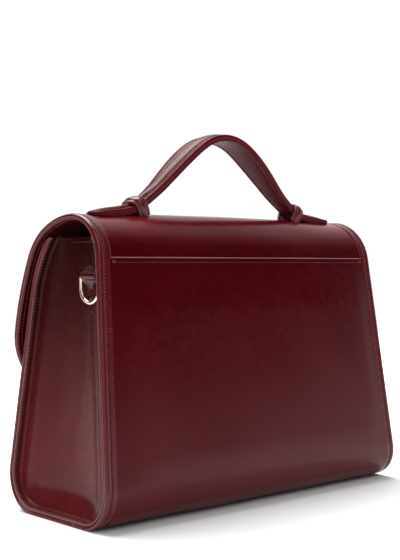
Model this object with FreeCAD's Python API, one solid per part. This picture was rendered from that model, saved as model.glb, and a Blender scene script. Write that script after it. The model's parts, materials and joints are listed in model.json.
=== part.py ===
import FreeCAD, Part
import math
import os
from FreeCAD import Vector

# Structured leather satchel: a tapered box body with dished gussets, a flap that
# runs over a rounded top from the back, an arched top handle and two side D-rings.
# Frame: +Z up, front faces -Y, back faces +Y, X across the width.
# The origin is on the table under the middle of the bag. All sizes are in millimetres.

os.makedirs("parts", exist_ok=True)

# ---- driving dimensions: body shell -------------------------------------------
BASE_WIDTH = 300.0          # across the side edges at the table
SIDE_LEAN = 0.0577          # each side edge moves in this much per mm of height
BACK_FOOT_Y = 61.5          # where the back plane would meet the table
FRONT_FOOT_Y = -60.8        # where the front plane would meet the table
WALL_LEAN = 7.4             # lean of the front and back panels, degrees
REAR_CORNER_RADIUS = 24.5   # rounded edge between back and base
FRONT_CORNER_RADIUS = 28.5  # rounded edge between front and base
TOP_HEIGHT = 209.8          # crown of the flap, without the handle
ARCH_REAR_RADIUS = 34.0     # rear shoulder of the arched top
HINGE_HEIGHT = 199.0        # level where the flap starts to bend
GUSSET_TOP = 194.5
FRONT_TOP = 195.2
FRONT_CURVE_HEIGHT = 155.0  # the front panel curls back above this level
FRONT_CURVE_RADIUS = 84.0
FRONT_CURVE_TURN = 33.0     # degrees; the panel is then trimmed level at FRONT_TOP

# ---- driving dimensions: layers, as depth under the outer face ------------------
LEATHER = 1.8
GLUE_LINE = 0.05
BOARD = 1.1
LINING = 1.1
STRIP = 1.0                 # edge strips stand proud of the panels
STRIP_WIDTH = 10.5
POCKET_LEATHER = 0.9
SEAM_CLEARANCE = 0.3        # between the bag body and the flap
BOARD_INSET = 13.0          # boards stop short of the stitched edges

# ---- driving dimensions: flap ---------------------------------------------------
FLAP_CROWN = (66.0, 30.0)       # radius and turn of each stretch of the flap's curve
FLAP_SHOULDER = (40.0, 38.0)
FLAP_FRONT = (190.0, 22.0)
FLAP_BOTTOM = 78.0
FLAP_CORNER_RADIUS = 46.0
REINFORCEMENT_HALF_WIDTH = 128.0
REINFORCEMENT_START = 18.0      # it begins this far in front of the hinge, clear of the bend

# ---- driving dimensions: gussets and D-rings ------------------------------------
GUSSET_RECESS = 12.8
GUSSET_EDGE_INSET = 0.6     # the gusset's cut edge sits just inside the panels' edges
GUSSET_LEATHER = 1.6
RING_Y = 20.6
RING_Z = 167.5
RING_WIRE_RADIUS = 1.4
RING_WIDTH = 23.4           # outside
RING_HEIGHT = 21.0          # outside
RING_CORNER_RADIUS = 1.8
RING_CLEARANCE = 0.1
TAB_LEATHER = 1.4
RING_STAND_OFF = 5.6        # ring axis to gusset, so the hanging ring clears the tab's foot
TAB_WIDTH = 16.4
TAB_FOOT_WIDTH = 12.0
TAB_ABOVE = 6.9
TAB_BELOW = 18.0
TAB_FOLD_BELOW = 6.0

# ---- driving dimensions: handle -------------------------------------------------
HANDLE_Y = 4.6
HANDLE_CROWN_Z = 271.8      # middle of the strap at the top of the arch
HANDLE_APEX_Z = 291.2       # where the two sloping legs would meet
HANDLE_CROWN_RADIUS = 46.8
HANDLE_LEG_SLOPE = 45.0     # degrees
HANDLE_FOOT_RADIUS = 14.0
STRAP_THICKNESS = 5.2
STRAP_LEATHER = 1.5
CORE_INSET = 2.5            # the padding stops short of the strap's edges
STRAP_GRIP_WIDTH = 25.0
STRAP_FOOT_WIDTH = 15.0
GRIP_HALF_LENGTH = 30.0
TAPER_END_X = 64.0
END_TIP_X = 123.0
STRAP_REST_GAP = 0.15       # the strap ends lie this far above the flap
HANDLE_PIVOT_Z = 222.5
KNUCKLE_RADIUS = 7.6
KNUCKLE_END_X = 74.0
KNUCKLE_CLEARANCE = 0.5
KEEPER_X = (77.0, 91.0)
KEEPER_LEATHER = 2.0
KEEPER_TOP = 220.8
KEEPER_SIDE_GAP = 0.3
KEEPER_FOOT_DEPTH = 6.0     # blank under the crown's level, then trimmed to the flap

# ---- driving dimensions: magnetic closure ---------------------------------------
SNAP_Z = 100.0
SNAP_RADIUS = 9.0
STUD_PLATE = 2.4
STUD_RADIUS = 3.0
STUD_LENGTH = 1.8
SNAP_GAP = 0.35
SNAP_RECESS_RADIUS = 4.8
SNAP_RECESS_DEPTH = 2.2
WASHER_RADIUS = 10.0
WASHER_THICKNESS = 0.6
WASHER_SETBACK = 0.2        # from the back of the leather to the flap's washer
WASHER_HOLE_MARGIN = 0.5    # the boards' holes are this much wider than the washers
SOCKET_BLANK = 20.0         # uncut length of the socket, then trimmed to the front panel

# ---- driving dimensions: pockets ------------------------------------------------
POCKET_TOP = 180.0
STRIP_WRAP = 62.0           # degrees that strips and pocket follow the rear corner
INNER_POCKET_TOP = 150.0
INNER_POCKET_BOTTOM = 45.0
INNER_POCKET_HALF_WIDTH = 80.0
INNER_POCKET_THICKNESS = 0.9
INNER_POCKET_GAP = 0.3

HALF_SPAN = 170.0           # longer than half the bag, for extrusions that get cut
FAR = 400.0
OVERCUT = 1.0               # cutting tools run this far past the face they cut
SIDE_LOW = -20.0            # the side planes are drawn between these two heights
SIDE_HIGH = 330.0
PLAN_LOW = 150.0            # the strap's plan view is extruded from here up

LEAN = math.radians(WALL_LEAN)
LINING_START = LEATHER + BOARD + 2 * GLUE_LINE
LINING_END = LINING_START + LINING
FLANGE_END = LINING_END + GLUE_LINE + GUSSET_LEATHER


# ---- outlines -------------------------------------------------------------------
def walk(state, moves):
    """Follow straight and curved moves; return the stretches and the end state.

    A state is (u, v, heading in degrees). A move is ("line", length) or
    ("arc", radius, turn), where a positive turn is to the left.
    """
    stretches = []
    u, v, heading = state
    for move in moves:
        angle = math.radians(heading)
        if move[0] == "line":
            end_u = u + move[1] * math.cos(angle)
            end_v = v + move[1] * math.sin(angle)
            stretches.append(("line", (u, v), (end_u, end_v), angle))
            u, v = end_u, end_v
            continue
        radius, turn = move[1], move[2]
        sense = 1 if turn > 0 else -1
        centre_u = u - sense * radius * math.sin(angle)
        centre_v = v + sense * radius * math.cos(angle)
        stretches.append(("arc", (centre_u, centre_v), radius, angle, math.radians(turn)))
        heading += turn
        angle = math.radians(heading)
        u = centre_u + sense * radius * math.sin(angle)
        v = centre_v - sense * radius * math.cos(angle)
    return stretches, (u, v, heading)


def arc_point(centre, radius, heading, sense):
    return (centre[0] + sense * radius * math.sin(heading),
            centre[1] - sense * radius * math.cos(heading))


def offset_edges(stretches, left, depth, place):
    """Edges of the stretches moved by depth to the left (left=1) or right (left=-1)."""
    edges = []
    ends = []
    for stretch in stretches:
        if stretch[0] == "line":
            angle = stretch[3]
            shift = (-left * depth * math.sin(angle), left * depth * math.cos(angle))
            points = [(p[0] + shift[0], p[1] + shift[1]) for p in stretch[1:3]]
            edges.append(Part.makeLine(place(*points[0]), place(*points[1])))
        else:
            centre, radius, heading, turn = stretch[1:]
            sense = 1 if turn > 0 else -1
            moved = radius - left * sense * depth
            points = [arc_point(centre, moved, heading + turn * part, sense)
                      for part in (0.0, 0.5, 1.0)]
            edges.append(Part.Arc(*[place(*p) for p in points]).toShape())
        ends.extend([points[0], points[-1]])
    return edges, place(*ends[0]), place(*ends[-1])


def side_view(y, z):
    return Vector(-HALF_SPAN, y, z)


def front_view(x, z):
    return Vector(x, -HALF_SPAN, z)


def band(stretches, left, shallow, deep, place=side_view):
    """A sheet that follows an outline between two depths, far too wide."""
    outer, outer_start, outer_end = offset_edges(stretches, left, shallow, place)
    inner, inner_start, inner_end = offset_edges(stretches, left, deep, place)
    closing = [Part.makeLine(outer_end, inner_end), Part.makeLine(inner_start, outer_start)]
    wire = Part.Wire(Part.__sortEdges__(outer + inner + closing))
    across = Vector(2 * HALF_SPAN, 0, 0) if place is side_view else Vector(0, 2 * HALF_SPAN, 0)
    return Part.Face(wire).extrude(across)


def filled(stretches, left, depth):
    """Everything inside an outline at a depth, closed by one straight line."""
    edges, start, end = offset_edges(stretches, left, depth, side_view)
    wire = Part.Wire(Part.__sortEdges__(edges + [Part.makeLine(end, start)]))
    return Part.Face(wire).extrude(Vector(2 * HALF_SPAN, 0, 0))


def half_width(z):
    return BASE_WIDTH / 2 - SIDE_LEAN * z


def prism(points, direction):
    """Extrude a closed polygon of 3-D points."""
    vectors = [Vector(*p) for p in points]
    return Part.Face(Part.makePolygon(vectors + vectors[:1])).extrude(Vector(*direction))


def between_sides(inset):
    """The space between the two leaning side planes, moved in by an inset."""
    low = half_width(SIDE_LOW) - inset
    high = half_width(SIDE_HIGH) - inset
    corners = [(-low, -FAR / 2, SIDE_LOW), (low, -FAR / 2, SIDE_LOW),
               (high, -FAR / 2, SIDE_HIGH), (-high, -FAR / 2, SIDE_HIGH)]
    return prism(corners, (0, FAR, 0))


def below(z):
    return Part.makeBox(FAR, FAR, FAR, Vector(-FAR / 2, -FAR / 2, z - FAR))


def washer_hole():
    """Cutting tool for the snap washers' holes in the front and flap boards."""
    radius = WASHER_RADIUS + WASHER_HOLE_MARGIN
    return Part.makeCylinder(radius, FAR / 2, Vector(0, -FAR / 2, SNAP_Z), Vector(0, 1, 0))


def above(z):
    return Part.makeBox(FAR, FAR, FAR, Vector(-FAR / 2, -FAR / 2, z))


def mirrored(shape):
    return shape.mirror(Vector(0, 0, 0), Vector(1, 0, 0))


def save(name, shape):
    if not shape.isValid():
        raise ValueError("invalid solid: " + name)
    shape = shape.removeSplitter()
    solids = shape.Solids
    result = solids[0] if len(solids) == 1 else Part.makeCompound(solids)
    result.exportStep("parts/" + name + ".step")
    box = result.BoundBox
    print("%-28s %d solid  %9.0f mm3  x %7.1f %7.1f  y %6.1f %6.1f  z %6.1f %6.1f" % (
        name, len(solids), result.Volume, box.XMin, box.XMax, box.YMin, box.YMax, box.ZMin, box.ZMax))


# ---- the side outline: from the hinge down the back, and from it over the top ----
arch_centre_z = TOP_HEIGHT - ARCH_REAR_RADIUS
arch_centre_y = BACK_FOOT_Y - arch_centre_z * math.tan(LEAN) - ARCH_REAR_RADIUS / math.cos(LEAN)
hinge_angle = math.degrees(math.asin((HINGE_HEIGHT - arch_centre_z) / ARCH_REAR_RADIUS))
hinge_y = arch_centre_y + ARCH_REAR_RADIUS * math.cos(math.radians(hinge_angle))
hinge_down = (hinge_y, HINGE_HEIGHT, hinge_angle - 90.0)
hinge_up = (hinge_y, HINGE_HEIGHT, hinge_angle + 90.0)


def wall_y(foot_y, z):
    """Outer face of the front or back plane at a height."""
    return foot_y - math.copysign(z * math.tan(LEAN), foot_y)


def fillet_reach(radius):
    """Height where a base corner's arc meets the leaning wall."""
    return radius * (1 + math.sin(LEAN))


back_top_z = arch_centre_z + ARCH_REAR_RADIUS * math.sin(LEAN)
back_length = (back_top_z - fillet_reach(REAR_CORNER_RADIUS)) / math.cos(LEAN)
front_length = (FRONT_CURVE_HEIGHT - fillet_reach(FRONT_CORNER_RADIUS)) / math.cos(LEAN)
rear_centre_y = (wall_y(BACK_FOOT_Y, fillet_reach(REAR_CORNER_RADIUS))
                 - REAR_CORNER_RADIUS * math.cos(LEAN))
front_centre_y = (wall_y(FRONT_FOOT_Y, fillet_reach(FRONT_CORNER_RADIUS))
                  + FRONT_CORNER_RADIUS * math.cos(LEAN))

shoulder_run, back_start = walk(hinge_down, [("arc", ARCH_REAR_RADIUS, WALL_LEAN - hinge_angle)])
back_run, corner_start = walk(back_start, [("line", back_length)])
corner_run, base_start = walk(corner_start, [("arc", REAR_CORNER_RADIUS, -90.0 - WALL_LEAN)])
base_run, front_start = walk(base_start, [("line", rear_centre_y - front_centre_y)])
front_corner_run, wall_start = walk(front_start, [("arc", FRONT_CORNER_RADIUS, -90.0 - WALL_LEAN)])
front_run, curl_start = walk(wall_start, [("line", front_length)])
curl_run, _ = walk(curl_start, [("arc", FRONT_CURVE_RADIUS, -FRONT_CURVE_TURN)])
outline = shoulder_run + back_run + corner_run + base_run + front_corner_run + front_run + curl_run

RIGHT, LEFT = -1, 1         # which side of the walk the inside of the bag is on


def body_band(stretches, shallow, deep):
    return band(stretches, RIGHT, shallow, deep)


# ---- bag body: shell --------------------------------------------------------------
def make_shell():
    sides = between_sides(0.0)
    front_trim = Part.makeBox(FAR, FAR / 2, FAR, Vector(-FAR / 2, -FAR / 2, FRONT_TOP))
    save("back_panel", body_band(shoulder_run + back_run + corner_run, 0, LEATHER).common(sides))
    save("base_panel", body_band(base_run, 0, LEATHER).common(sides))
    front = body_band(front_corner_run + front_run + curl_run, 0, LEATHER)
    save("front_panel", front.common(sides).cut(front_trim))
    lining = body_band(outline, LINING_START, LINING_END)
    save("body_lining", lining.common(sides).cut(front_trim))
    board_sides = between_sides(BOARD_INSET)
    board_start = LEATHER + GLUE_LINE
    for name, run in (("back_board", back_run), ("base_board", base_run), ("front_board", front_run)):
        board = body_band(run, board_start, board_start + BOARD).common(board_sides)
        if name == "front_board":
            board = board.cut(washer_hole())
        save(name, board)


def make_back_trim():
    wrap_run, _ = walk(corner_start, [("arc", REAR_CORNER_RADIUS, -STRIP_WRAP)])
    strips = body_band(shoulder_run + back_run + wrap_run, -STRIP, 0)
    strips = strips.common(between_sides(0.0)).cut(between_sides(STRIP_WIDTH))
    right_half = Part.makeBox(FAR, FAR, FAR, Vector(0, -FAR / 2, -FAR / 2))
    save("back_edge_strip_right", strips.common(right_half))
    save("back_edge_strip_left", strips.cut(right_half))
    pocket = body_band(back_run + wrap_run, -POCKET_LEATHER, 0)
    pocket = pocket.common(between_sides(STRIP_WIDTH + GLUE_LINE)).common(below(POCKET_TOP))
    save("back_pocket_panel", pocket)


def make_inner_pocket():
    start = LINING_END + INNER_POCKET_GAP
    sheet = body_band(back_run, start, start + INNER_POCKET_THICKNESS)
    width = 2 * INNER_POCKET_HALF_WIDTH
    height = INNER_POCKET_TOP - INNER_POCKET_BOTTOM
    window = Part.makeBox(width, FAR, height, Vector(-width / 2, 0, INNER_POCKET_BOTTOM))
    save("inner_slip_pocket", sheet.common(window))


def side_slab(outer, inner):
    """The space between two depths under the right-hand side plane."""
    low = half_width(SIDE_LOW)
    high = half_width(SIDE_HIGH)
    corners = [(low - inner, -FAR / 2, SIDE_LOW), (low - outer, -FAR / 2, SIDE_LOW),
               (high - outer, -FAR / 2, SIDE_HIGH), (high - inner, -FAR / 2, SIDE_HIGH)]
    return prism(corners, (0, FAR, 0))


def make_gussets():
    """Each gusset is a shallow dish: a set-back panel with a rim turned outwards."""
    seat = LINING_END + GLUE_LINE
    dish_slab = side_slab(GUSSET_EDGE_INSET, GUSSET_RECESS + GUSSET_LEATHER)
    dish = filled(outline, RIGHT, seat).common(dish_slab)
    hollow = filled(outline, RIGHT, FLANGE_END).common(side_slab(0.0, GUSSET_RECESS))
    gusset = dish.cut(hollow).common(below(GUSSET_TOP))
    lining_depth = GUSSET_RECESS + GUSSET_LEATHER + GLUE_LINE
    lining = filled(outline, RIGHT, seat).common(side_slab(lining_depth, lining_depth + LINING))
    lining = lining.common(below(GUSSET_TOP))
    save("gusset_right", gusset)
    save("gusset_left", mirrored(gusset))
    save("gusset_lining_right", lining)
    save("gusset_lining_left", mirrored(lining))


# ---- D-rings ------------------------------------------------------------------------
ring_face_x = half_width(RING_Z) - GUSSET_RECESS
side_angle = math.atan(SIDE_LEAN)
ring_axis_x = ring_face_x + GLUE_LINE + RING_STAND_OFF * math.cos(side_angle)
ring_axis_z = RING_Z + RING_STAND_OFF * math.sin(side_angle)


def make_ring_tab():
    """Leather folded round the ring's bar, with a stitched foot on the gusset."""
    bar_hole = RING_WIRE_RADIUS + RING_CLEARANCE
    bar_x = RING_STAND_OFF
    fold_x = bar_x + bar_hole + TAB_LEATHER
    double = 2 * TAB_LEATHER
    section = [(0, TAB_ABOVE), (double, TAB_ABOVE), (fold_x, bar_hole), (fold_x, -bar_hole),
               (double, -TAB_FOLD_BELOW), (0, -TAB_FOLD_BELOW)]
    fold = prism([(x, -TAB_WIDTH / 2, z) for x, z in section], (0, TAB_WIDTH, 0))
    foot = Part.makeBox(double, TAB_FOOT_WIDTH, TAB_BELOW - TAB_FOLD_BELOW,
                        Vector(0, -TAB_FOOT_WIDTH / 2, -TAB_BELOW))
    hole = Part.makeCylinder(bar_hole, FAR, Vector(bar_x, -FAR / 2, 0), Vector(0, 1, 0))
    tab = fold.fuse(foot).removeSplitter().cut(hole)
    tab.rotate(Vector(0, 0, 0), Vector(0, 1, 0), -math.degrees(side_angle))
    tab.translate(Vector(ring_face_x + GLUE_LINE, RING_Y, RING_Z))
    save("d_ring_tab_right", tab)
    save("d_ring_tab_left", mirrored(tab))


def make_ring():
    """A bent wire: straight bar on top, rounded corners and a half-round bottom."""
    half = RING_WIDTH / 2 - RING_WIRE_RADIUS
    corner = RING_CORNER_RADIUS
    drop = RING_HEIGHT - 2 * RING_WIRE_RADIUS
    side = drop - corner - half
    moves = [("line", half - corner), ("arc", corner, -90.0), ("line", side), ("arc", half, -180.0),
             ("line", side), ("arc", corner, -90.0), ("line", half - corner)]
    loop, _ = walk((0.0, 0.0, 0.0), moves)
    spine, _, _ = offset_edges(loop, RIGHT, 0.0, lambda y, z: Vector(0, y, z))
    circle = Part.Wire(Part.makeCircle(RING_WIRE_RADIUS, Vector(0, 0, 0), Vector(0, 1, 0)))
    ring = Part.Wire(spine).makePipeShell([circle], True, False)
    section = math.pi * RING_WIRE_RADIUS ** 2
    length = sum(edge.Length for edge in spine)
    print("ring volume %.1f, section times length %.1f" % (abs(ring.Volume), section * length))
    ring.translate(Vector(ring_axis_x, RING_Y, ring_axis_z))
    save("d_ring_right", ring)
    save("d_ring_left", mirrored(ring))


# ---- flap ---------------------------------------------------------------------------
gap_angle = math.degrees(SEAM_CLEARANCE / ARCH_REAR_RADIUS)
flap_angle = hinge_angle + gap_angle
flap_state = (arch_centre_y + ARCH_REAR_RADIUS * math.cos(math.radians(flap_angle)),
              arch_centre_z + ARCH_REAR_RADIUS * math.sin(math.radians(flap_angle)),
              flap_angle + 90.0)
rear_run, crown_start = walk(flap_state, [("arc", ARCH_REAR_RADIUS, 90.0 - flap_angle)])
crown_run, shoulder_start = walk(crown_start, [("arc",) + FLAP_CROWN])
drop_run, drop_start = walk(shoulder_start, [("arc",) + FLAP_SHOULDER])
sweep_run, skirt_start = walk(drop_start, [("arc",) + FLAP_FRONT])
skirt_run, _ = walk(skirt_start, [("line", skirt_start[1] - FLAP_BOTTOM)])
flap_outline = rear_run + crown_run + drop_run + sweep_run + skirt_run
flap_inner_y = skirt_start[0] + LINING_END


def flap_shadow(inset):
    """Front view of the flap: leaning sides and two rounded lower corners."""
    bottom = FLAP_BOTTOM + inset
    radius = FLAP_CORNER_RADIUS - inset
    half = half_width(bottom) - inset
    side_angle = math.degrees(math.atan(SIDE_LEAN))
    turn = 90.0 - side_angle
    reach = radius * math.tan(math.radians(turn / 2))
    corner, _ = walk((half - reach, bottom, 0.0), [("arc", radius, turn + 2 * side_angle)])
    edges, start, end = offset_edges(corner, LEFT, 0.0, front_view)
    mirror_plane = (Vector(0, 0, 0), Vector(1, 0, 0))
    left_edges = [edge.mirror(*mirror_plane) for edge in edges]
    high = Vector(half_width(SIDE_HIGH) - inset, -HALF_SPAN, SIDE_HIGH)
    high_left = Vector(-high.x, high.y, high.z)
    start_left = Vector(-start.x, start.y, start.z)
    end_left = Vector(-end.x, end.y, end.z)
    straight = [Part.makeLine(start_left, start), Part.makeLine(end, high),
                Part.makeLine(high, high_left), Part.makeLine(high_left, end_left)]
    wire = Part.Wire(Part.__sortEdges__(edges + left_edges + straight))
    return Part.Face(wire).extrude(Vector(0, 2 * HALF_SPAN, 0))


def flap_band(stretches, shallow, deep):
    return band(stretches, LEFT, shallow, deep)


def make_flap():
    shadow = flap_shadow(0.0)
    save("flap_panel", flap_band(flap_outline, 0, LEATHER).common(shadow))
    save("flap_lining", flap_band(flap_outline, LINING_START, LINING_END).common(shadow))
    strip = flap_band(flap_outline, -STRIP, 0).common(shadow).cut(flap_shadow(STRIP_WIDTH))
    save("flap_border_strip", strip)
    board_start = LEATHER + GLUE_LINE
    board_end = board_start + BOARD
    board = flap_band(sweep_run + skirt_run, board_start, board_end).common(flap_shadow(BOARD_INSET))
    save("flap_board", board.cut(washer_hole()))
    plate = flap_band(rear_run + crown_run, board_start, board_end)
    width = 2 * REINFORCEMENT_HALF_WIDTH
    length = hinge_y - REINFORCEMENT_START + FAR / 2
    window = Part.makeBox(width, length, FAR, Vector(-width / 2, -FAR / 2, 0))
    save("handle_reinforcement", plate.common(window))


# ---- handle -------------------------------------------------------------------------
END_MIDDLE_Z = TOP_HEIGHT + STRAP_REST_GAP + STRAP_THICKNESS / 2


def strap_stretches():
    """Middle line of the strap, from the left tip over the arch to the right tip."""
    slope = math.radians(HANDLE_LEG_SLOPE)
    foot_meet_x = HANDLE_APEX_Z - END_MIDDLE_Z
    foot_reach = HANDLE_FOOT_RADIUS * math.tan(slope / 2)
    crown_reach = HANDLE_CROWN_RADIUS * math.tan(slope)
    leg_length = foot_meet_x / math.cos(slope) - foot_reach - crown_reach
    flat_length = END_TIP_X - foot_meet_x - foot_reach
    moves = [("line", flat_length), ("arc", HANDLE_FOOT_RADIUS, HANDLE_LEG_SLOPE), ("line", leg_length),
             ("arc", HANDLE_CROWN_RADIUS, -2 * HANDLE_LEG_SLOPE), ("line", leg_length),
             ("arc", HANDLE_FOOT_RADIUS, HANDLE_LEG_SLOPE), ("line", flat_length)]
    stretches, end = walk((-END_TIP_X, END_MIDDLE_Z, 0.0), moves)
    print("strap ends at x %.3f z %.3f" % (end[0], end[1]))
    return stretches


def strap_plan(inset):
    """Plan view of the strap: wide grip, tapered legs, narrow ends with round tips."""
    grip = STRAP_GRIP_WIDTH / 2 - inset
    foot = STRAP_FOOT_WIDTH / 2 - inset
    tip_x = END_TIP_X - foot
    points = [(tip_x, -foot), (TAPER_END_X, -foot), (GRIP_HALF_LENGTH, -grip),
              (-GRIP_HALF_LENGTH, -grip), (-TAPER_END_X, -foot), (-tip_x, -foot)]
    lower = [Vector(x, HANDLE_Y + y, PLAN_LOW) for x, y in points]
    upper = [Vector(x, HANDLE_Y - y, PLAN_LOW) for x, y in points]
    right_tip = Part.Arc(lower[0], Vector(tip_x + foot, HANDLE_Y, PLAN_LOW), upper[0]).toShape()
    left_tip = Part.Arc(lower[-1], Vector(-tip_x - foot, HANDLE_Y, PLAN_LOW), upper[-1]).toShape()
    edges = [Part.makeLine(a, b) for a, b in zip(lower, lower[1:])]
    edges += [Part.makeLine(a, b) for a, b in zip(upper, upper[1:])]
    wire = Part.Wire(Part.__sortEdges__(edges + [right_tip, left_tip]))
    return Part.Face(wire).extrude(Vector(0, 0, SIDE_HIGH - PLAN_LOW))


def make_handle():
    stretches = strap_stretches()
    half = STRAP_THICKNESS / 2
    pivot_line = Vector(1, 0, 0)
    pivot_start = Vector(-KNUCKLE_END_X, HANDLE_Y, HANDLE_PIVOT_Z)
    knuckle = Part.makeCylinder(KNUCKLE_RADIUS, 2 * KNUCKLE_END_X, pivot_start, pivot_line)
    socket = Part.makeCylinder(KNUCKLE_RADIUS + KNUCKLE_CLEARANCE,
                               2 * (KNUCKLE_END_X + KNUCKLE_CLEARANCE),
                               pivot_start - pivot_line * KNUCKLE_CLEARANCE, pivot_line)
    moving = above(HANDLE_PIVOT_Z).fuse(knuckle)
    layers = (("handle_cover", half, half - STRAP_LEATHER, 0.0),
              ("handle_core", half - STRAP_LEATHER, STRAP_LEATHER - half, CORE_INSET),
              ("handle_lining", STRAP_LEATHER - half, -half, 0.0))
    for name, high, low, inset in layers:
        sheet = band(stretches, LEFT, high, low, front_view).common(strap_plan(inset))
        save(name, sheet.common(moving))
    ends = band(stretches, LEFT, half, -half, front_view).common(strap_plan(0.0))
    ends = ends.common(below(HANDLE_PIVOT_Z)).cut(socket)
    for end in ends.Solids:
        side = "right" if end.CenterOfMass.x > 0 else "left"
        save("handle_end_" + side, end)


def make_keepers():
    """Leather loops that hold the strap down on the flap."""
    inner_half = STRAP_FOOT_WIDTH / 2 + KEEPER_SIDE_GAP
    outer_half = inner_half + KEEPER_LEATHER
    length = KEEPER_X[1] - KEEPER_X[0]
    foot_z = TOP_HEIGHT - KEEPER_FOOT_DEPTH
    outer = Part.makeBox(length, 2 * outer_half, KEEPER_TOP - foot_z,
                         Vector(KEEPER_X[0], HANDLE_Y - outer_half, foot_z))
    top_edges = [e for e in outer.Edges
                 if e.BoundBox.XLength > length / 2 and e.BoundBox.ZMin > KEEPER_TOP - OVERCUT]
    outer = outer.makeFillet(KEEPER_LEATHER, top_edges)
    inner = Part.makeBox(length + 2 * OVERCUT, 2 * inner_half, KEEPER_TOP - KEEPER_LEATHER - foot_z,
                         Vector(KEEPER_X[0] - OVERCUT, HANDLE_Y - inner_half, foot_z))
    under_flap = filled(flap_outline, LEFT, -GLUE_LINE)
    keeper = outer.cut(inner).cut(under_flap)
    save("keeper_right", keeper)
    save("keeper_left", mirrored(keeper))


# ---- magnetic closure -----------------------------------------------------------------
def disc(radius, start_y, length):
    return Part.makeCylinder(radius, length, Vector(0, start_y, SNAP_Z), Vector(0, 1, 0))


def make_snap():
    stud = disc(SNAP_RADIUS, flap_inner_y + GLUE_LINE, STUD_PLATE)
    stud = stud.fuse(disc(STUD_RADIUS, flap_inner_y + STUD_PLATE, STUD_LENGTH + GLUE_LINE))
    save("snap_stud", stud)
    board_y = skirt_start[0] + LEATHER + GLUE_LINE
    save("snap_stud_washer", disc(WASHER_RADIUS, board_y + WASHER_SETBACK, WASHER_THICKNESS))
    face_y = flap_inner_y + STUD_PLATE + SNAP_GAP
    shell = filled(outline, RIGHT, -GLUE_LINE)
    socket = disc(SNAP_RADIUS, face_y, SOCKET_BLANK).cut(shell)
    socket = socket.cut(disc(SNAP_RECESS_RADIUS, face_y - OVERCUT, SNAP_RECESS_DEPTH + OVERCUT))
    save("snap_socket", socket)
    middle = LEATHER + GLUE_LINE + BOARD / 2
    washer_y = wall_y(FRONT_FOOT_Y, SNAP_Z) + middle / math.cos(LEAN)
    washer = Part.makeCylinder(WASHER_RADIUS, WASHER_THICKNESS,
                               Vector(0, -WASHER_THICKNESS / 2, 0), Vector(0, 1, 0))
    washer.rotate(Vector(0, 0, 0), Vector(1, 0, 0), -WALL_LEAN)
    washer.translate(Vector(0, washer_y, SNAP_Z))
    save("snap_socket_washer", washer)


make_shell()
make_back_trim()
make_inner_pocket()
make_gussets()
make_ring_tab()
make_ring()
make_flap()
make_handle()
make_keepers()
make_snap()
print("hinge y %.2f z %.2f, proud strip face y %.2f" % (
    hinge_y, HINGE_HEIGHT, hinge_y + STRIP * math.cos(math.radians(hinge_angle))))
print("hinge angle %.3f, arch centre y %.3f z %.3f" % (hinge_angle, arch_centre_y, arch_centre_z))
print("ring axis x %.3f y %.3f z %.3f" % (ring_axis_x, RING_Y, ring_axis_z))
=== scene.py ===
import json
import math

import bmesh
import bpy
import numpy as np
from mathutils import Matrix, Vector


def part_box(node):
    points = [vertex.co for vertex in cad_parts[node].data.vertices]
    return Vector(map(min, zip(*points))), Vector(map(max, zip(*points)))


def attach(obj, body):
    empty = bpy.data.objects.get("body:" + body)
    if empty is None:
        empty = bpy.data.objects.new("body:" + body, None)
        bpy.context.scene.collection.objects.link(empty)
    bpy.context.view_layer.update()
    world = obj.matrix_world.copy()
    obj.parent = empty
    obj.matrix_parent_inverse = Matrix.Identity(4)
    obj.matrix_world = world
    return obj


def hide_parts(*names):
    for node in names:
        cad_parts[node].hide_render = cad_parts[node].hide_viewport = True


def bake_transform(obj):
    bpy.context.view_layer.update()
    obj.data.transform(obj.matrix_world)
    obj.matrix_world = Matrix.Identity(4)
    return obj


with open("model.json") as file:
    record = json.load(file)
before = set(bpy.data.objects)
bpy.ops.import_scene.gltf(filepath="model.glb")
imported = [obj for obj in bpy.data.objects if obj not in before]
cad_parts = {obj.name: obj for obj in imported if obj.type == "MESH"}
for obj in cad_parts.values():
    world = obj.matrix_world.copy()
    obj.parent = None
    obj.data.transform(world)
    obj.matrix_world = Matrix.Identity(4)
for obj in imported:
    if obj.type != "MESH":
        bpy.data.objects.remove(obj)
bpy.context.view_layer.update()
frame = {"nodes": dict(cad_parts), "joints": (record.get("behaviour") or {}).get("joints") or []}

# A structured leather satchel, built over its CAD frame. Front faces -Y, back +Y, +Z up.
# Lengths below are in millimetres in the part's frame, and become metres when a mesh is made.
MM = 0.001

# ---- body shell: side outline ----
HALF_BASE = 150.0           # half width across the side edges at the table
SIDE_LEAN = 0.0577          # each side edge moves in this much per mm of height
BACK_FOOT_Y = 61.5
FRONT_FOOT_Y = -60.8
WALL_LEAN = math.radians(7.4)
REAR_CORNER_RADIUS = 24.5
FRONT_CORNER_RADIUS = 28.5
TOP_HEIGHT = 209.8
ARCH_RADIUS = 34.0
FLAP_CURVE = ((66.0, 30.0), (40.0, 38.0), (190.0, 22.0))
FLAP_BOTTOM = 78.0
FLAP_CORNER = 46.0
FRONT_CURL_HEIGHT = 155.0
FRONT_CURL = (84.0, -33.0)
FRONT_TOP = 195.2
FRONT_TOP_CORNER = 7.0
GUSSET_TOP = 194.5

# ---- layers, as depth under the outer face ----
LEATHER = 1.1
BOARD_START = 1.15
BOARD_END = 1.85
LINING_START = 2.15
LINING_END = 2.85
FLANGE_START = 2.9
FLANGE_END = 4.1
BORDER_WIDTH = 10.7
STITCH_INSET = 4.9
STITCH_PITCH = 2.4
THREAD_RADIUS = 0.38

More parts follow.
